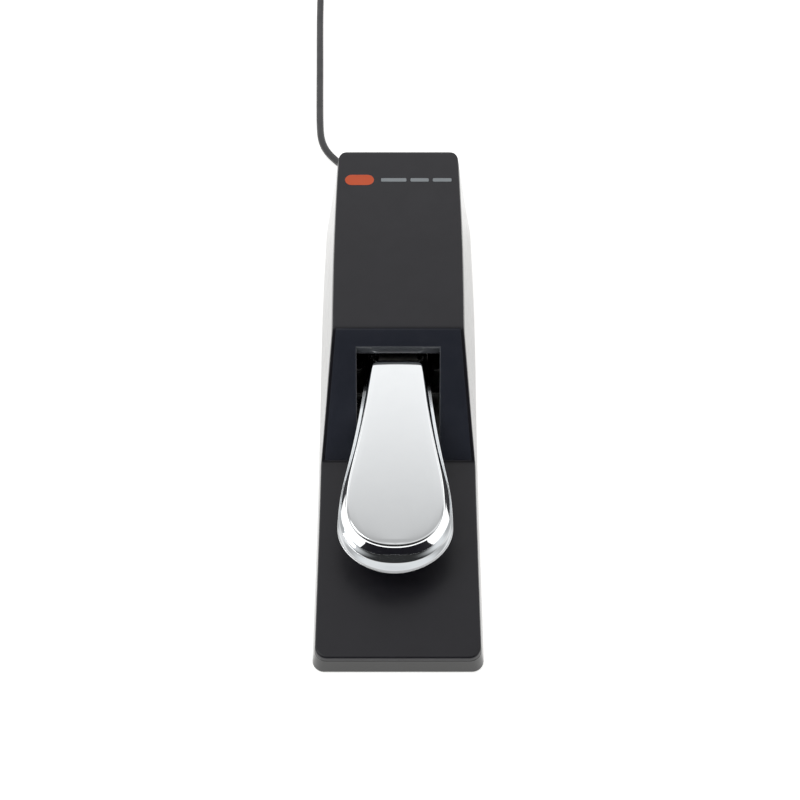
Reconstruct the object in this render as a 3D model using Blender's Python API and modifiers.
"""Piano-style sustain pedal: a chrome foot lever in a wedge-shaped plastic housing.

Metres, +X to the player's right, +Y from the toe to the cable end, +Z up.
The origin lies on the floor, under the middle of the housing.
"""
import math

import bmesh
import bpy
from mathutils import Matrix, Vector

# ---- driving dimensions: housing ---------------------------------------------------------
LENGTH = 0.253            # front foot of the housing to its rear face
WAIST_HALF = 0.03735      # half width at floor level near the toe
BULGE = 0.0015            # how much wider each side swells around BULGE_Y
BULGE_Y = 0.070
BULGE_SPREAD = 0.075
SIDE_DRAFT = 0.150        # the side walls lean in this much per metre of height
FRONT_DRAFT = 0.130
REAR_DRAFT = 0.010
FRONT_CORNER = 0.0053     # plan radii of the upright corners
REAR_CORNER = 0.0060
GROUND_GAP = 0.0008       # the walls stop this far above the floor, the rubber soles touch it
DECK_Z = 0.0128           # low deck in front of the slope
CREASE_Y = -0.0290        # foot of the slope
BROW_Y = 0.0175           # head of the slope
BROW_Z = 0.0555
REAR_Z = 0.0575
REAR_EDGE = 0.0035        # rounding of the top's rear edge
FRONT_EDGE = 0.0010       # rounding of the deck's front edge
GAP = 0.0003              # clearance between neighbouring pieces
LID = 0.0026              # thickness of the top cover
WALL = 0.0024             # thickness of the base housing's walls
BOSS_HALF = 0.0035        # half width of the screw bosses under the lid
RELIEF_HOLE = 0.0043      # radius of the cord's hole in the rear wall
WINDOW_LOW = (0.0130, 0.0110)       # x and z of the polarity window's corners
WINDOW_HIGH = (0.0220, 0.0160)
PAST = 0.06               # half width of cutters that run past both sides
ABOVE = 0.064             # height of blocks that are cut down to the top

# ---- driving dimensions: slot ------------------------------------------------------------
SLOT_HALF = 0.01865
SLOT_TOP_Y = 0.0118
SLOT_LOW_Y = -0.0244
COLLAR_WALL = 0.0012
COLLAR_DEPTH = 0.0036
POCKET = 0.0014           # depth of the recess that holds the bezel
BEZEL_SHEET = 0.0011
BEZEL_INSET = 0.0010      # cover edge left visible beside the bezel

# ---- driving dimensions: pedal -----------------------------------------------------------
PIVOT = Vector((0.0, 0.069, 0.031))
PEDAL_TILT = 0.0214       # rise of the plateau per metre towards the rear
TILT_Y = -0.0854          # where the levels below are measured
PLATEAU_Z = 0.0400
FOOT_Z = 0.0282
RIM_Z = 0.0281
SHELL = 0.0015
ARM_HALF = 0.0090
ARM_TOP = 0.0384
ARM_LOW = 0.0340
BORE = 0.0040             # radius of the hole that takes the bushes
AXLE_RADIUS = 0.0025
PEDAL_STUDS = (-0.050, -0.020)      # y of the weld studs that hold the shell to the arm

# ---- driving dimensions: mechanism -------------------------------------------------------
SHEET = 0.0015            # steel sheet of the bracket
CHEEK_IN = 0.0127         # inner face of each bracket cheek
PLATE_LOW = 0.0020        # bottom plate
PLATE_TOP = 0.0035
BRACKET_LOW = PLATE_TOP + GAP
STOP_BAR = (0.0300, 0.0425)         # y and z of the upper stop
STOP_RADIUS = 0.0015
LOW_STOP_Y = 0.0          # rubber block that ends the stroke
LOW_STOP_HEIGHT = 0.0245
SPRING_Y = 0.0230
SPRING_RADIUS = 0.0062    # middle of the wire
SPRING_WIRE = 0.0007      # radius of the wire
SPRING_TURNS = 7.5
SPRING_DISC = 0.0016      # thickness of the discs at its two ends
SWITCH_Y = 0.0440
SWITCH_TOP = 0.0270
SWITCH_WIDE = 0.0064
SWITCH_HIGH = 0.0100
SWITCH_HALF = 0.0100      # half length
LEAF = 0.0250             # length of the switch's leaf lever
PIN_LONG = 0.0045         # length of its terminals
SWITCH_SCREWS = [(0.0390, 0.0200), (0.0490, 0.0200)]
THREAD = 0.0014           # radius of the case and bracket screws
SCREW_HOLE = 0.0018       # radius of the holes they pass through
CASE_SCREWS = [(-0.027, -0.112), (0.027, -0.112), (-0.0275, 0.008), (0.0275, 0.008),
               (-0.0265, 0.108), (0.0265, 0.108)]
BRACKET_SCREWS = [(-0.0195, 0.0300), (0.0195, 0.0300), (-0.0195, 0.0760), (0.0195, 0.0760)]

# ---- driving dimensions: cable -----------------------------------------------------------
CORD_RADIUS = 0.0020
EXIT = Vector((-0.024, 0.1265, 0.011))
RELIEF = 0.0200           # length of the strain relief outside the housing
COIL_CENTRE = Vector((-0.0162, 0.3480, 0.0))
COIL_OUTER = 0.0290
COIL_INNER = 0.0170
COIL_LOW = 0.0009
COIL_HIGH = 0.0154
TIE_HALF = 0.0040         # half width of the tie
TIE_SHEET = 0.0006
PLUG_Y = 0.3850
PLUG_Z = 0.00605
PLUG_X = -0.0160          # where the cord enters the plug

# Free run of the cord from the strain relief to the coil.
CORD_ROUTE = [(-0.0240, 0.1468, 0.0110), (-0.0244, 0.1510, 0.0104), (-0.0258, 0.1560, 0.0083),
              (-0.0281, 0.1612, 0.0056), (-0.0312, 0.1662, 0.0034), (-0.0346, 0.1707, 0.0024),
              (-0.0384, 0.1757, 0.0021), (-0.0414, 0.1812, 0.0021), (-0.0432, 0.1874, 0.0021),
              (-0.0441, 0.1950, 0.0021), (-0.0447, 0.2070, 0.0021), (-0.0453, 0.2250, 0.0021),
              (-0.0460, 0.2480, 0.0021), (-0.0468, 0.2720, 0.0021), (-0.0474, 0.2960, 0.0021),
              (-0.0477, 0.3230, 0.0021), (-0.0475, 0.3440, 0.0021)]

# Short run from the coil to the plug.
TAIL_ROUTE = [(-0.0433, 0.3637, 0.0021), (-0.0396, 0.3702, 0.0021), (-0.0345, 0.3765, 0.0024),
              (-0.0285, 0.3815, 0.0034), (-0.0225, 0.3842, 0.0052), (-0.0166, 0.3850, 0.00605)]


# ---- scene and materials -----------------------------------------------------------------
def clear_scene():
    """Removes every object of the start-up scene."""
    for old in list(bpy.data.objects):
        bpy.data.objects.remove(old, do_unlink=True)


def new_collection(name):
    """Returns a collection linked to the scene."""
    group = bpy.data.collections.new(name)
    bpy.context.scene.collection.children.link(group)
    return group


def new_material(name, color, roughness, metallic=0.0):
    """Returns a Principled material."""
    made = bpy.data.materials.new(name)
    made.use_nodes = True
    shader = made.node_tree.nodes["Principled BSDF"]
    shader.inputs["Base Color"].default_value = (*color, 1.0)
    shader.inputs["Roughness"].default_value = roughness
    shader.inputs["Metallic"].default_value = metallic
    made.diffuse_color = (*color, 1.0)
    return made


clear_scene()
PEDAL_PARTS = new_collection("sustain_pedal")
CUTTERS = new_collection("cutters")
COVER_BLACK = new_material("cover_black_abs", (0.068, 0.066, 0.076), 0.42)
HOUSING_BLACK = new_material("housing_black_abs", (0.040, 0.040, 0.044), 0.22)
BEZEL_BLACK = new_material("bezel_blue_black_abs", (0.030, 0.033, 0.042), 0.46)
CHROME = new_material("polished_chrome", (0.90, 0.91, 0.92), 0.05, 1.0)
ZINC_STEEL = new_material("zinc_plated_steel", (0.60, 0.60, 0.58), 0.35, 1.0)
SPRING_STEEL = new_material("spring_steel", (0.35, 0.35, 0.36), 0.30, 1.0)
RUBBER = new_material("black_rubber", (0.020, 0.020, 0.021), 0.85)
NYLON = new_material("white_nylon", (0.80, 0.79, 0.74), 0.50)
SWITCH_BLACK = new_material("switch_black_phenolic", (0.030, 0.030, 0.030), 0.50)
SWITCH_RED = new_material("switch_red_button", (0.50, 0.05, 0.04), 0.45)
CORD_GREY = new_material("cord_dark_grey_pvc", (0.085, 0.085, 0.090), 0.50)
WIRE_RED = new_material("wire_red_pvc", (0.55, 0.04, 0.03), 0.50)
WIRE_WHITE = new_material("wire_white_pvc", (0.75, 0.75, 0.73), 0.50)
NICKEL = new_material("nickel_plate", (0.72, 0.70, 0.66), 0.20, 1.0)


# ---- mesh helpers ------------------------------------------------------------------------
def add_object(name, data, material=None):
    """Links a mesh or curve as a part, or as a cutter when it has no material."""
    made = bpy.data.objects.new(name, data)
    if material is None:
        CUTTERS.objects.link(made)
        made.hide_render = True
        made.display_type = "WIRE"
    else:
        PEDAL_PARTS.objects.link(made)
        data.materials.append(material)
    return made


def finish_mesh(name, bm, material, smooth=True):
    """Turns a bmesh into an object with its normals facing out."""
    bmesh.ops.recalc_face_normals(bm, faces=bm.faces)
    data = bpy.data.meshes.new(name)
    bm.to_mesh(data)
    bm.free()
    if smooth:
        data.shade_smooth()
        data.set_sharp_from_angle(angle=math.radians(35))
    return add_object(name, data, material)


def box(name, low, high, material=None):
    """A box between two corners."""
    low, high = Vector(low), Vector(high)
    bm = bmesh.new()
    bmesh.ops.create_cube(bm, size=1.0)
    bmesh.ops.scale(bm, vec=high - low, verts=bm.verts)
    bmesh.ops.translate(bm, vec=(low + high) / 2, verts=bm.verts)
    return finish_mesh(name, bm, material, smooth=False)


def cylinder(name, start, end, radius, material=None, sides=20):
    """A cylinder from one point to another."""
    start, end = Vector(start), Vector(end)
    turn = (end - start).to_track_quat("Z", "Y").to_matrix().to_4x4()
    bm = bmesh.new()
    bmesh.ops.create_cone(bm, cap_ends=True, segments=sides, radius1=radius, radius2=radius,
                          depth=(end - start).length,
                          matrix=Matrix.Translation((start + end) / 2) @ turn)
    return finish_mesh(name, bm, material)


def turned(name, profile, start, direction, material, steps=24):
    """A solid turned from (radius, height) points, top to bottom, about an axis."""
    bm = bmesh.new()
    verts = [bm.verts.new((radius, 0.0, height)) for radius, height in profile]
    for first, second in zip(verts, verts[1:]):
        bm.edges.new((first, second))
    data = bpy.data.meshes.new(name)
    bm.to_mesh(data)
    bm.free()
    made = add_object(name, data, material)
    made.matrix_world = (Matrix.Translation(Vector(start))
                         @ Vector(direction).to_track_quat("Z", "Y").to_matrix().to_4x4())
    screw = made.modifiers.new("turn", "SCREW")
    screw.steps = steps
    screw.render_steps = steps
    screw.use_merge_vertices = True
    screw.merge_threshold = 0.00001
    return made


def side_slab(name, outline, half_width, material=None):
    """A (y, z) outline carried across the width, evenly about the middle."""
    bm = bmesh.new()
    verts = [bm.verts.new((-half_width, y, z)) for y, z in outline]
    face = bm.faces.new(verts)
    grown = bmesh.ops.extrude_face_region(bm, geom=[face])
    moved = [item for item in grown["geom"] if isinstance(item, bmesh.types.BMVert)]
    bmesh.ops.translate(bm, vec=(2 * half_width, 0, 0), verts=moved)
    return finish_mesh(name, bm, material, smooth=False)


def plan_loft(name, lower, low_z, upper, high_z, material=None):
    """A solid between two plan outlines with matching points."""
    bm = bmesh.new()
    bottom = [bm.verts.new((x, y, low_z)) for x, y in lower]
    top = [bm.verts.new((x, y, high_z)) for x, y in upper]
    bm.faces.new(bottom)
    bm.faces.new(top)
    for index in range(len(bottom)):
        after = (index + 1) % len(bottom)
        bm.faces.new((bottom[index], bottom[after], top[after], top[index]))
    return finish_mesh(name, bm, material)


def combine(target, other, operation):
    """Adds a Boolean modifier with the exact solver."""
    cut = target.modifiers.new(operation.lower() + "_" + other.name, "BOOLEAN")
    cut.operation = operation
    cut.solver = "EXACT"
    cut.object = other
    return target


def tube(name, points, radius, material, sides_level=2):
    """A round tube along a poly line with filled caps."""
    data = bpy.data.curves.new(name, "CURVE")
    data.dimensions = "3D"
    line = data.splines.new("POLY")
    line.points.add(len(points) - 1)
    for spot, point in zip(line.points, points):
        spot.co = (*point, 1.0)
    data.bevel_depth = radius
    data.bevel_resolution = sides_level
    data.use_fill_caps = True
    return add_object(name, data, material)


def smooth_route(points, pieces):
    """Points of a Catmull-Rom curve through the route, the given number per span."""
    knots = [Vector(point) for point in points]
    knots = [2 * knots[0] - knots[1]] + knots + [2 * knots[-1] - knots[-2]]
    curve = []
    for a, b, c, d in zip(knots, knots[1:], knots[2:], knots[3:]):
        for step in range(pieces):
            t = step / pieces
            curve.append(0.5 * (2 * b + (c - a) * t + (2 * a - 5 * b + 4 * c - d) * t * t
                                + (3 * b - a - 3 * c + d) * t ** 3))
    return curve + [knots[-2]]


def set_pivot(part, point):
    """Moves an object's origin to a joint axis and leaves its shape in place."""
    part.data.transform(Matrix.Translation(-Vector(point)))
    part.location = point


def arc(centre, radius, start, end, steps):
    """Points on an arc, angles in degrees."""
    return [(centre[0] + radius * math.cos(math.radians(start + (end - start) * i / steps)),
             centre[1] + radius * math.sin(math.radians(start + (end - start) * i / steps)))
            for i in range(steps + 1)]


# ---- housing shape -----------------------------------------------------------------------
def floor_half_width(y):
    """Half width of the housing at floor level."""
    return WAIST_HALF + BULGE * math.exp(-((y - BULGE_Y) / BULGE_SPREAD) ** 2)


def plan_outline(z, inset=0.0):
    """Plan outline of the outer walls at a height, moved in by an inset."""
    front = -LENGTH / 2 + FRONT_DRAFT * (z - GROUND_GAP) + inset
    rear = LENGTH / 2 - REAR_DRAFT * (z - GROUND_GAP) - inset
    lean = SIDE_DRAFT * z + inset
    front_radius = FRONT_CORNER - 0.6 * inset
    rear_radius = REAR_CORNER - 0.6 * inset
    front_half = floor_half_width(front) - lean
    rear_half = floor_half_width(rear - rear_radius) - lean
    right = arc((front_half - front_radius, front + front_radius), front_radius, -90, 0, 5)
    first, last = front + front_radius, rear - rear_radius
    stations = [first + (last - first) * step / 12 for step in range(1, 12)]
    right += [(floor_half_width(y) - lean, y) for y in stations]
    right += arc((rear_half - rear_radius, last), rear_radius, 0, 90, 5)
    return right + [(-x, y) for x, y in reversed(right)]


def slope_line(depth):
    """Crease and brow points of the top, moved in square to the surface."""
    rise = math.atan2(BROW_Z - DECK_Z, BROW_Y - CREASE_Y)
    crown = math.atan2(REAR_Z - BROW_Z, LENGTH / 2 - BROW_Y)
    low_turn = math.tan(rise / 2)
    high_turn = math.tan((rise - crown) / 2)
    crease = (CREASE_Y + depth * low_turn, DECK_Z - depth)
    brow = (BROW_Y + depth * (math.sin(crown) + high_turn * math.cos(crown)),
            BROW_Z - depth * (math.cos(crown) - high_turn * math.sin(crown)))
    rear = (LENGTH / 2 + 0.01, REAR_Z - depth + 0.0002)
    return crease, brow, rear


def below(depth, floor=-0.01):
    """Side outline of everything that lies at least this deep under the top."""
    crease, brow, rear = slope_line(depth)
    front = -LENGTH / 2 - 0.01
    return [(front, floor), (front, DECK_Z - depth), crease, brow, rear, (rear[0], floor)]


def under_skin():
    """Side outline of the whole housing with its rounded front and rear edges."""
    front = -LENGTH / 2 + FRONT_DRAFT * DECK_Z
    rear = LENGTH / 2 - REAR_DRAFT * REAR_Z
    crease, brow, _ = slope_line(0.0)
    outline = [(-LENGTH / 2 - 0.01, -0.01), (-LENGTH / 2 - 0.01, 0.0), (front, DECK_Z - FRONT_EDGE)]
    outline += arc((front + FRONT_EDGE, DECK_Z - FRONT_EDGE), FRONT_EDGE, 165, 90, 3)
    outline += [crease, brow]
    outline += arc((rear - REAR_EDGE, REAR_Z - REAR_EDGE), REAR_EDGE, 90, 0, 6)
    return outline + [(LENGTH / 2 + 0.01, 0.01), (LENGTH / 2 + 0.01, -0.01)]


def outer_block(name, material=None):
    """The drafted outer volume of the housing, still taller than its top."""
    return plan_loft(name, plan_outline(GROUND_GAP), GROUND_GAP, plan_outline(ABOVE), ABOVE, material)


def make_top_cover():
    """Lid that follows the deck, slope and crown, with a pocket for the bezel."""
    cover = outer_block("top_cover", COVER_BLACK)
    combine(cover, side_slab("cut_skin", under_skin(), PAST), "INTERSECT")
    combine(cover, side_slab("cut_under_lid", below(LID), PAST), "DIFFERENCE")
    combine(cover, pocket_solid("cut_pocket", 0.0, POCKET, 0.004), "DIFFERENCE")
    room = COLLAR_WALL + GAP
    combine(cover, box("cut_slot_cover", (-SLOT_HALF - room, SLOT_LOW_Y - room, 0),
                       (SLOT_HALF + room, SLOT_TOP_Y + room, ABOVE)), "DIFFERENCE")
    return cover


def pocket_solid(name, shrink, depth, above, material=None):
    """Slab on the slope, as wide as the bezel, from above the skin down to a depth."""
    crease, brow, _ = slope_line(0.0)
    deep_crease, deep_brow, _ = slope_line(depth)
    run = Vector((brow[0] - crease[0], brow[1] - crease[1])).normalized()
    square = Vector((-run.y, run.x))
    start = Vector(crease) + run * (0.0012 + shrink)
    end = Vector(brow) - run * (0.0012 + shrink)
    lift, drop = square * above, square * depth
    side = [start - drop, end - drop, end + lift, start + lift]
    low_half = floor_half_width(start.x) - SIDE_DRAFT * start.y - BEZEL_INSET - shrink
    high_half = floor_half_width(end.x) - SIDE_DRAFT * end.y - BEZEL_INSET - shrink
    halves = [low_half, high_half, high_half, low_half]
    bm = bmesh.new()
    left = [bm.verts.new((-half, point.x, point.y)) for half, point in zip(halves, side)]
    right = [bm.verts.new((half, point.x, point.y)) for half, point in zip(halves, side)]
    bm.faces.new(left)
    bm.faces.new(right)
    for index in range(4):
        after = (index + 1) % 4
        bm.faces.new((left[index], left[after], right[after], right[index]))
    return finish_mesh(name, bm, material, smooth=False)


def make_slot_bezel():
    """Slope insert: a sheet in the cover's pocket with an upright collar round the slot."""
    bezel = pocket_solid("slot_bezel", GAP, BEZEL_SHEET, 0.0, BEZEL_BLACK)
    collar = side_slab("add_collar", below(0.0004), SLOT_HALF + COLLAR_WALL)
    combine(collar, side_slab("cut_collar_depth", below(COLLAR_DEPTH), PAST), "DIFFERENCE")
    combine(collar, box("keep_collar", (-0.05, SLOT_LOW_Y - COLLAR_WALL, 0),
                        (0.05, SLOT_TOP_Y + COLLAR_WALL, ABOVE)), "INTERSECT")
    combine(bezel, collar, "UNION")
    combine(bezel, box("cut_slot_bezel", (-SLOT_HALF, SLOT_LOW_Y, -0.01),
                       (SLOT_HALF, SLOT_TOP_Y, ABOVE)), "DIFFERENCE")
    return bezel


def make_base_housing():
    """Walls under the cover, open above and below, with six screw bosses."""
    base = outer_block("base_housing", HOUSING_BLACK)
    combine(base, bpy.data.objects["cut_skin"], "INTERSECT")
    combine(base, side_slab("keep_walls", below(LID + GAP), PAST), "INTERSECT")
    combine(base, plan_loft("cut_cavity", plan_outline(-0.01, WALL), -0.01,
                            plan_outline(ABOVE, WALL), ABOVE), "DIFFERENCE")
    for index, (x, y) in enumerate(CASE_SCREWS):
        side = math.copysign(1, x)
        top = DECK_Z - LID - GAP - 0.0006
        wall = floor_half_width(y) - SIDE_DRAFT * top - WALL / 2
        inner = x - side * BOSS_HALF
        boss = box("add_boss_%d" % index, (min(inner, side * wall), y - BOSS_HALF, PLATE_TOP + 0.0006),
                   (max(inner, side * wall), y + BOSS_HALF, top))
        combine(base, boss, "UNION")
        combine(base, cylinder("cut_boss_%d" % index, (x, y, 0), (x, y, top - 0.001), 0.0017,
                               sides=12), "DIFFERENCE")
    combine(base, cylinder("cut_relief_hole", (EXIT.x, 0.115, EXIT.z), (EXIT.x, 0.14, EXIT.z),
                           RELIEF_HOLE, sides=16), "DIFFERENCE")
    combine(base, box("cut_polarity_window", (WINDOW_LOW[0], 0.115, WINDOW_LOW[1]),
                      (WINDOW_HIGH[0], 0.14, WINDOW_HIGH[1])), "DIFFERENCE")
    return base


def make_bottom_plate():
    """Steel plate that closes the housing from below."""
    plate = plan_loft("bottom_plate", plan_outline(PLATE_LOW, WALL + GAP), PLATE_LOW,
                      plan_outline(PLATE_TOP, WALL + GAP), PLATE_TOP, ZINC_STEEL)
    for index, (x, y) in enumerate(CASE_SCREWS):
        combine(plate, cylinder("cut_plate_%d" % index, (x, y, 0), (x, y, 0.01), SCREW_HOLE,
                                sides=12), "DIFFERENCE")
    for index, (x, y) in enumerate(BRACKET_SCREWS):
        combine(plate, cylinder("cut_thread_%d" % index, (x, y, 0), (x, y, 0.01), SCREW_HOLE,
                                sides=12), "DIFFERENCE")
    return plate


def make_soles():
    """Two rubber sheets under the bottom plate, clear of the case screws."""
    top = PLATE_LOW - GAP
    box("front_sole", (-0.0300, -0.1050, 0.0), (0.0300, -0.0050, top), RUBBER)
    box("rear_sole", (-0.0310, 0.0210, 0.0), (0.0310, 0.1010, top), RUBBER)


def pan_screw(name, head_top, facing, reach):
    """Pan-head screw on a vertical axis, its head facing up (1) or down (-1)."""
    head, edge, under_head = 2.0 * THREAD, 0.4 * THREAD, -0.9 * THREAD
    profile = [(0.0, 0.0), (head - edge, 0.0), (head, -edge), (head, under_head),
               (THREAD, under_head), (THREAD, edge - reach), (THREAD - edge, -reach),
               (0.0, -reach)]
    return turned(name, profile, head_top, (0, 0, facing), ZINC_STEEL, steps=14)


def make_case_screws():
    """Six screws from below through the plate into the bosses."""
    for index, (x, y) in enumerate(CASE_SCREWS):
        pan_screw("case_screw_%d" % (index + 1), (x, y, 0.0004), -1, 0.0074)


# ---- mechanism ---------------------------------------------------------------------------
def make_pivot_bracket():
    """Folded steel bracket: two cheeks on a floor, with feet that take the screws."""
    floor = BRACKET_LOW + SHEET
    bracket = box("pivot_bracket", (-0.0240, 0.0150, BRACKET_LOW), (0.0240, 0.0840, floor), ZINC_STEEL)
    outline = [(0.0245, floor - 0.0005), (0.0820, floor - 0.0005), (0.0780, 0.0330), (0.0690, 0.0390),
               (0.0560, 0.0390), (0.0360, 0.0475), (0.0270, 0.0475), (0.0245, 0.0450)]
    for name, side in (("left", -1), ("right", 1)):
        cheek = side_slab("add_cheek_" + name, outline, SHEET / 2)
        cheek.location.x = side * (CHEEK_IN + SHEET / 2)
        combine(bracket, cheek, "UNION")
    combine(bracket, cylinder("cut_axle_holes", (-0.03, PIVOT.y, PIVOT.z), (0.03, PIVOT.y, PIVOT.z),
                              AXLE_RADIUS + GAP, sides=20), "DIFFERENCE")
    combine(bracket, cylinder("cut_stop_holes", (-0.03, *STOP_BAR), (0.03, *STOP_BAR),
                              STOP_RADIUS + GAP, sides=16), "DIFFERENCE")
    for index, (y, z) in enumerate(SWITCH_SCREWS):
        combine(bracket, cylinder("cut_switch_%d" % index, (-0.02, y, z), (-0.01, y, z), 0.0013,
                                  sides=12), "DIFFERENCE")
    for index, (x, y) in enumerate(BRACKET_SCREWS):
        combine(bracket, cylinder("cut_foot_%d" % index, (x, y, 0), (x, y, 0.01), SCREW_HOLE,
                                  sides=12), "DIFFERENCE")
        pan_screw("bracket_screw_%d" % (index + 1), (x, y, floor + GAP + 0.9 * THREAD), 1, 0.0044)
    return bracket


def make_axle():
    """Steel axle with a push-on clip at each end."""
    reach = CHEEK_IN + SHEET + 0.0045
    profile = [(0.0, reach), (AXLE_RADIUS - 0.0004, reach), (AXLE_RADIUS, reach - 0.0004),
               (AXLE_RADIUS, 0.0004 - reach), (AXLE_RADIUS - 0.0004, -reach), (0.0, -reach)]
    turned("pivot_axle", profile, PIVOT, (1, 0, 0), ZINC_STEEL)
    for name, side in (("left", -1), ("right", 1)):
        inner = AXLE_RADIUS + GAP
        ring = [(inner, 0.0006), (0.0048, 0.0006), (0.0052, 0.0), (0.0048, -0.0006),
                (inner, -0.0006), (inner, 0.0006)]
        spot = (side * (CHEEK_IN + SHEET + GAP + 0.0008), PIVOT.y, PIVOT.z)
        turned("axle_clip_" + name, ring, spot, (1, 0, 0), SPRING_STEEL)


def make_stops():
    """Upper stop bar with its rubber sleeve, and the rubber block that ends the stroke."""
    y, z = STOP_BAR
    reach = CHEEK_IN + SHEET + 0.0015
    cylinder("upper_stop_bar", (-reach, y, z), (reach, y, z), STOP_RADIUS, ZINC_STEEL, sides=16)
    inner, outer, half = STOP_RADIUS + GAP, 0.0036, 0.0110
    ring = [(inner, half), (outer, half), (outer, -half), (inner, -half), (inner, half)]
    turned("upper_stop_sleeve", ring, (0, y, z), (1, 0, 0), RUBBER, steps=20)
    floor = BRACKET_LOW + SHEET + GAP
    block = [(0.0, LOW_STOP_HEIGHT), (0.0045, LOW_STOP_HEIGHT), (0.0060, LOW_STOP_HEIGHT - 0.0015),
             (0.0070, 0.0), (0.0, 0.0)]
    turned("lower_stop_block", block, (0, LOW_STOP_Y, PLATE_TOP + GAP), (0, 0, 1), RUBBER, steps=20)
    seat = [(0.0, 0.0060), (0.0038, 0.0060), (0.0042, 0.0056), (0.0042, SPRING_DISC),
            (0.0088, SPRING_DISC), (0.0088, 0.0), (0.0, 0.0)]
    turned("spring_seat", seat, (0, SPRING_Y, floor), (0, 0, 1), NYLON, steps=20)


def make_return_spring():
    """Compression spring with closed ends, between the seat and the cap under the arm.

    The first and last 0.9 turn climb by the closed pitch, the turns between share the rest.
    """
    room = GAP + SPRING_DISC + GAP + SPRING_WIRE + 0.0001
    low, high = BRACKET_LOW + SHEET + room, ARM_LOW - room
    closed, pitch, per_turn = 0.9, 0.0017, 12
    free = high - low - 2 * closed * pitch
    points = []
    for step in range(int(SPRING_TURNS * per_turn) + 1):
        turn = step / per_turn
        angle = 2 * math.pi * turn
        part = min(max((turn - closed) / (SPRING_TURNS - 2 * closed), 0.0), 1.0)
        ends = min(turn, closed) + max(turn - SPRING_TURNS + closed, 0.0)
        points.append((SPRING_RADIUS * math.cos(angle), SPRING_Y + SPRING_RADIUS * math.sin(angle),
                       low + free * part + pitch * ends))
    tube("return_spring", points, SPRING_WIRE, SPRING_STEEL)


def make_microswitch():
    """Snap-action switch on the left cheek, with its leaf lever, button and terminals."""
    left, right = GAP - CHEEK_IN, GAP - CHEEK_IN + SWITCH_WIDE
    low, high = SWITCH_TOP - SWITCH_HIGH, SWITCH_TOP
    body = box("switch_body", (left, SWITCH_Y - SWITCH_HALF, low), (right, SWITCH_Y + SWITCH_HALF, high),
               SWITCH_BLACK)
    middle = (left + right) / 2
    button_y = SWITCH_Y - 0.0030
    combine(body, cylinder("cut_button", (middle, button_y, high - 0.0045), (middle, button_y, 0.04),
                           0.0014, sides=12), "DIFFERENCE")
    for index, (y, z) in enumerate(SWITCH_SCREWS):
        combine(body, cylinder("cut_mount_%d" % index, (left - 0.005, y, z), (right - 0.0015, y, z),
                               0.0012, sides=12), "DIFFERENCE")
        head = 0.0020
        profile = [(0.0, 0.0), (head - 0.0004, 0.0), (head, -0.0004), (head, -0.0010), (0.0009, -0.0010),
                   (0.0009, -0.0066), (0.0, -0.0066)]
        turned("switch_screw_%d" % (index + 1), profile,
               (-CHEEK_IN - SHEET - GAP - 0.0010, y, z), (-1, 0, 0), ZINC_STEEL, steps=12)
    for index, y in enumerate((SWITCH_Y - 0.0075, SWITCH_Y + 0.0075)):
        box("switch_terminal_%d" % (index + 1), (middle - 0.0016, y - 0.00025, low - PIN_LONG),
            (middle + 0.0016, y + 0.00025, low - GAP), NICKEL)
    button = cylinder("switch_button", (middle, button_y, high - 0.0024),
                      (middle, button_y, high + 0.00285), 0.0011, SWITCH_RED, sides=14)
    set_pivot(button, (middle, button_y, high))
    make_switch_lever(middle, high)


def make_switch_lever(middle, high):
    """Leaf lever hinged at the switch's rear, its tip just under the arm."""
    hinge_y, hinge_z = SWITCH_Y + 0.0088, high + 0.0010
    tip_y, tip_z, half_sheet = hinge_y - LEAF, ARM_LOW - GAP - 0.0005, 0.0003
    outline = [(hinge_y, hinge_z - half_sheet), (hinge_y, hinge_z + half_sheet),
               (tip_y, tip_z + half_sheet), (tip_y, tip_z - half_sheet)]
    lever = side_slab("switch_lever", outline, 0.0021, SPRING_STEEL)
    lever.data.transform(Matrix.Translation((middle, 0, 0)))
    set_pivot(lever, (middle, hinge_y, hinge_z))


# ---- pedal -------------------------------------------------------------------------------
def pedal_ring(toe, wide, wide_y, fullness, handles, rear_half, rear_y, corner):
    """Plan outline of one pedal contour: superellipse toe, Bezier flank, rounded heel.

    The toe follows |x/a|^n + |y/b|^n = 1, the flank is one cubic Bezier curve.
    """
    right = []
    for step in range(11):
        angle = math.pi / 2 * step / 10
        across = math.sin(angle) ** (2 / fullness)
        along = math.cos(angle) ** (2 / fullness) if step < 10 else 0.0
        right.append((wide * across, wide_y + (toe - wide_y) * along))
    a, d = Vector((wide, wide_y)), Vector((rear_half, rear_y - corner))
    b, c = Vector(handles[0]), Vector(handles[1])
    for step in range(1, 10):
        t = step / 9
        point = a * (1 - t) ** 3 + 3 * b * t * (1 - t) ** 2 + 3 * c * t * t * (1 - t) + d * t ** 3
        right.append((point.x, point.y))
    right += arc((rear_half - corner, rear_y - corner), corner, 0, 90, 4)[1:]
    return right + [(-x, y) for x, y in reversed(right[1:])]


def tilted(outline, level):
    """Points of an outline at a level on the tilted pedal."""
    return [(x, y, level + PEDAL_TILT * (y - TILT_Y)) for x, y in outline]


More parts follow.
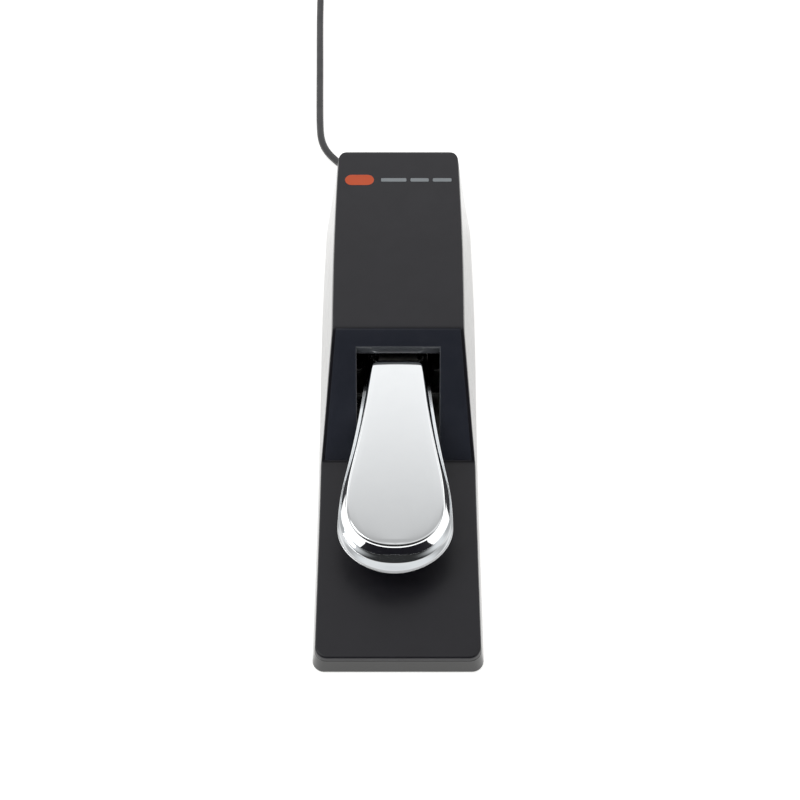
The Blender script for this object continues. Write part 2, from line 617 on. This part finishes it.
def pedal_contours():
    """Contours of the pedal's outer face, from the plateau to the rim."""
    plateau = dict(toe=-0.0846, wide=0.0199, wide_y=-0.0656, fullness=2.22,
                   handles=((0.0199, -0.0460), (0.0149, -0.0421)), rear_half=0.0109,
                   rear_y=0.0074, corner=0.0022)
    shoulder = dict(toe=-0.0862, wide=0.0213, wide_y=-0.0656, fullness=2.21,
                    handles=((0.0213, -0.0460), (0.0162, -0.0421)), rear_half=0.0123,
                    rear_y=0.0090, corner=0.0030)
    foot = dict(toe=-0.0878, wide=0.0239, wide_y=-0.0630, fullness=2.25,
                handles=((0.0239, -0.0460), (0.0170, -0.0330)), rear_half=0.0133,
                rear_y=0.0185, corner=0.0030)
    rim = dict(toe=-0.0928, wide=0.0253, wide_y=-0.0716, fullness=1.92,
               handles=((0.0253, -0.0440), (0.0194, -0.0450)), rear_half=0.0140,
               rear_y=0.0225, corner=0.0035)
    between = {key: plateau[key] * 0.35 + shoulder[key] * 0.65
               for key in plateau if key != "handles"}
    between["handles"] = shoulder["handles"]
    return [tilted(pedal_ring(**plateau), PLATEAU_Z), tilted(pedal_ring(**between), PLATEAU_Z - 0.0004),
            tilted(pedal_ring(**shoulder), PLATEAU_Z - 0.0016), tilted(pedal_ring(**foot), FOOT_Z),
            tilted(pedal_ring(**rim), RIM_Z)]


def make_chrome_pedal():
    """Pressed shell: plateau, steep walls and a flat rim, open underneath."""
    rings = pedal_contours()
    bm = bmesh.new()
    rows = [[bm.verts.new(point) for point in ring] for ring in rings]
    bm.faces.new(rows[0])
    for upper, lower in zip(rows, rows[1:]):
        for index in range(len(upper)):
            after = (index + 1) % len(upper)
            bm.faces.new((upper[index], upper[after], lower[after], lower[index]))
    bmesh.ops.recalc_face_normals(bm, faces=bm.faces)
    if sum(face.normal.z for face in bm.faces) < 0:
        bmesh.ops.reverse_faces(bm, faces=bm.faces)
    data = bpy.data.meshes.new("chrome_pedal")
    bm.to_mesh(data)
    bm.free()
    shell = add_object("chrome_pedal", data, CHROME)
    set_pivot(shell, PIVOT)
    wall = shell.modifiers.new("wall", "SOLIDIFY")
    wall.thickness = SHELL
    wall.offset = -1.0
    wall.use_even_offset = True
    room = GAP + 0.0002
    combine(shell, box("cut_arm_gate", (-ARM_HALF - room, 0.0075, 0.020),
                       (ARM_HALF + room, 0.040, ARM_TOP + room)), "DIFFERENCE")
    return shell


def make_pedal_arm():
    """Steel bar under the pedal, with the pivot block and the tail behind it."""
    block = 0.0070
    outline = [(-0.0600, ARM_LOW), (PIVOT.y - block, ARM_LOW), (PIVOT.y - block, PIVOT.z - 0.0060),
               (PIVOT.y - 0.0040, PIVOT.z - 0.0075), (PIVOT.y + 0.0040, PIVOT.z - 0.0075),
               (PIVOT.y + block, PIVOT.z - 0.0060), (PIVOT.y + block, ARM_TOP - 0.0010),
               (PIVOT.y + block - 0.0010, ARM_TOP), (-0.0600, ARM_TOP)]
    arm = side_slab("pedal_arm", outline, ARM_HALF, ZINC_STEEL)
    combine(arm, cylinder("cut_bore", (-0.02, PIVOT.y, PIVOT.z), (0.02, PIVOT.y, PIVOT.z), BORE,
                          sides=24), "DIFFERENCE")
    for index, y in enumerate(PEDAL_STUDS):
        combine(arm, cylinder("cut_arm_screw_%d" % index, (0, y, 0.02), (0, y, 0.05), 0.0021,
                              sides=14), "DIFFERENCE")
    set_pivot(arm, PIVOT)
    for name, side in (("left", -1), ("right", 1)):
        inner, outer, flange = AXLE_RADIUS + GAP, BORE - GAP, 0.0058
        shoulder = ARM_HALF + GAP
        ring = [(inner, CHEEK_IN - GAP), (flange, CHEEK_IN - GAP), (flange, shoulder),
                (outer, shoulder), (outer, 0.0010), (inner, 0.0010), (inner, CHEEK_IN - GAP)]
        turned("pivot_bush_" + name, ring, PIVOT, (side, 0, 0), NYLON, steps=24)
    return arm


def make_pedal_studs():
    """Two weld studs of the shell with their nuts under the arm, and the spring's cap."""
    for index, y in enumerate(PEDAL_STUDS):
        top = PLATEAU_Z + PEDAL_TILT * (y - TILT_Y) - SHELL - GAP
        radius, head, sole = 0.0016, 0.0032, ARM_LOW - GAP
        profile = [(0.0, top - sole), (radius, top - sole), (radius, 0.0), (head, 0.0),
                   (head, -0.0016), (head - 0.0005, -0.0021), (0.0, -0.0021)]
        turned("pedal_stud_%d" % (index + 1), profile, (0, y, sole), (0, 0, 1), ZINC_STEEL, steps=14)
    cap = [(0.0, 0.0), (0.0085, 0.0), (0.0085, -SPRING_DISC), (0.0042, -SPRING_DISC), (0.0042, -0.0050),
           (0.0036, -0.0056), (0.0, -0.0056)]
    turned("spring_cap", cap, (0, SPRING_Y, ARM_LOW - GAP), (0, 0, 1), NYLON, steps=20)


# ---- cable side --------------------------------------------------------------------------
def make_polarity_switch():
    """Slide switch behind the rear wall, its thumb piece recessed in the window."""
    wall_in = LENGTH / 2 - WALL
    box("polarity_switch_body", (0.0110, wall_in - 0.0062, 0.0095), (0.0240, wall_in - GAP - 0.0004, 0.0175),
        NICKEL)
    slider = box("polarity_slider", (0.0140, wall_in - 0.0004, 0.0118),
                 (0.0175, LENGTH / 2 - 0.0006, 0.0152), SWITCH_BLACK)
    set_pivot(slider, (0.01575, LENGTH / 2 - 0.0015, 0.0135))


def make_strain_relief():
    """Tapered, ribbed rubber sleeve with a collar that grips the wall."""
    neck, flange, grip = 0.0040, 0.0062, 0.0022
    profile = [(0.0, RELIEF), (0.0031, RELIEF)]
    for rib in range(4):
        top = RELIEF - 0.0012 - 0.0038 * rib
        radius = 0.0034 + 0.00032 * rib
        profile += [(radius, top), (radius, top - 0.0024), (radius - 0.0006, top - 0.0028),
                    (radius - 0.0006, top - 0.0034)]
    profile += [(flange, 0.0026), (flange, GAP), (neck, GAP), (neck, -WALL - GAP),
                (neck + 0.0015, -WALL - GAP), (neck + 0.0015, -WALL - grip), (0.0, -WALL - grip)]
    turned("strain_relief", profile, EXIT, (0, 1, 0), RUBBER, steps=20)


def make_internal_wires():
    """Thin wires from the switch to the polarity switch, and on to the strain relief."""
    middle = GAP - CHEEK_IN + SWITCH_WIDE / 2
    low = SWITCH_TOP - SWITCH_HIGH - PIN_LONG - GAP - 0.0007
    rear = LENGTH / 2 - WALL - 0.0062 - GAP
    cord_end = EXIT.y - WALL - 0.0022 - GAP
    first = [(middle, 0.0515, low), (middle, 0.0530, low - 0.0030), (middle + 0.001, 0.0620, 0.0072),
             (-0.0040, 0.0800, 0.0068), (0.0080, 0.0960, 0.0066), (0.0140, 0.1070, 0.0080),
             (0.0150, rear - 0.0012, 0.0130)]
    second = [(middle, 0.0365, low), (middle, 0.0370, low - 0.0040), (middle - 0.0005, 0.0440, 0.0066),
              (middle - 0.001, 0.0700, 0.0064), (middle - 0.0015, 0.0860, 0.0066),
             (-0.0150, 0.0980, 0.0084), (-0.0195, 0.1090, 0.0100),
              (EXIT.x, cord_end, EXIT.z)]
    third = [(0.0200, rear - 0.0012, 0.0150), (0.0195, 0.1090, 0.0155), (0.0120, 0.1030, 0.0150),
             (0.0000, 0.1000, 0.0145), (-0.0120, 0.1040, 0.0145), (-0.0200, 0.1120, 0.0142),
             (EXIT.x + 0.0022, cord_end, EXIT.z + 0.0025)]
    tube("switch_wire_red", smooth_route(first, 3), 0.0006, WIRE_RED)
    tube("switch_wire_white", smooth_route(second, 3), 0.0006, WIRE_WHITE)
    tube("polarity_wire", smooth_route(third, 3), 0.0006, WIRE_RED)


def make_cable():
    """The free cord, its storage coil with a tie, and the run to the plug."""
    tube("cable", smooth_route(CORD_ROUTE, 4), CORD_RADIUS, CORD_GREY)
    edge = 0.0030
    ring = [(COIL_INNER + edge, COIL_HIGH), (COIL_OUTER - edge, COIL_HIGH), (COIL_OUTER, COIL_HIGH - edge),
            (COIL_OUTER, COIL_LOW + edge), (COIL_OUTER - edge, COIL_LOW), (COIL_INNER + edge, COIL_LOW),
            (COIL_INNER, COIL_LOW + edge), (COIL_INNER, COIL_HIGH - edge), (COIL_INNER + edge, COIL_HIGH)]
    turned("cable_coil", ring, COIL_CENTRE, (0, 0, 1), CORD_GREY, steps=32)
    tube("cable_tail", smooth_route(TAIL_ROUTE, 4), CORD_RADIUS, CORD_GREY)
    inner, outer = COIL_CENTRE.x + COIL_INNER - GAP - 0.0006, COIL_CENTRE.x + COIL_OUTER + GAP
    tie = box("cable_tie", (inner - TIE_SHEET, COIL_CENTRE.y - TIE_HALF, 0.0),
              (outer + TIE_SHEET, COIL_CENTRE.y + TIE_HALF, COIL_HIGH + GAP + TIE_SHEET), RUBBER)
    combine(tie, box("cut_tie", (inner, COIL_CENTRE.y - 0.02, TIE_SHEET),
                     (outer, COIL_CENTRE.y + 0.02, COIL_HIGH + GAP)), "DIFFERENCE")


def make_plug():
    """Quarter-inch jack plug lying along +X: boot, handle, sleeve, ring and tip."""
    place = (PLUG_X, PLUG_Y, PLUG_Z)
    along = (1, 0, 0)
    boot = [(0.0, 0.0120), (0.0052, 0.0120), (0.0050, 0.0085), (0.0040, 0.0080), (0.0044, 0.0055),
            (0.0036, 0.0050), (0.0038, 0.0025), (0.0030, 0.0020), (0.0031, 0.0), (0.0, 0.0)]
    turned("plug_boot", boot, place, along, RUBBER, steps=20)
    shell = [(0.0, 0.0390), (0.0046, 0.0390), (0.0050, 0.0385), (0.0050, 0.0365), (0.0060, 0.0355),
             (0.0060, 0.0150), (0.0054, 0.0125), (0.0054, 0.0123), (0.0, 0.0123)]
    turned("plug_handle", shell, place, along, RUBBER, steps=24)
    sleeve = [(0.0, 0.0615), (0.00318, 0.0615), (0.00318, 0.0405), (0.0042, 0.0405), (0.0042, 0.0393),
              (0.0, 0.0393)]
    turned("plug_sleeve", sleeve, place, along, NICKEL, steps=20)
    ring = [(0.0, 0.0629), (0.0031, 0.0629), (0.0031, 0.0618), (0.0, 0.0618)]
    turned("plug_insulator", ring, place, along, SWITCH_BLACK, steps=20)
    tip = [(0.0, 0.0712), (0.0009, 0.0710), (0.0026, 0.0690), (0.0031, 0.0678), (0.0020, 0.0662),
           (0.0031, 0.0646), (0.00318, 0.0632), (0.0, 0.0632)]
    turned("plug_tip", tip, place, along, NICKEL, steps=20)


def hang_on_pivot():
    """Parents the pieces that swing together to an empty on the pivot axis."""
    empty = bpy.data.objects.new("pedal_pivot_axis", None)
    empty.location = PIVOT
    PEDAL_PARTS.objects.link(empty)
    bpy.context.view_layer.update()
    names = ["chrome_pedal", "pedal_arm", "pivot_bush_left", "pivot_bush_right", "pedal_stud_1",
             "pedal_stud_2", "spring_cap"]
    for name in names:
        part = bpy.data.objects[name]
        part.parent = empty
        part.matrix_parent_inverse = empty.matrix_world.inverted()


make_top_cover()
make_slot_bezel()
make_base_housing()
make_bottom_plate()
make_soles()
make_case_screws()
make_pivot_bracket()
make_axle()
make_stops()
make_return_spring()
make_microswitch()
make_chrome_pedal()
make_pedal_arm()
make_pedal_studs()
make_polarity_switch()
make_strain_relief()
make_internal_wires()
make_cable()
make_plug()
hang_on_pivot()
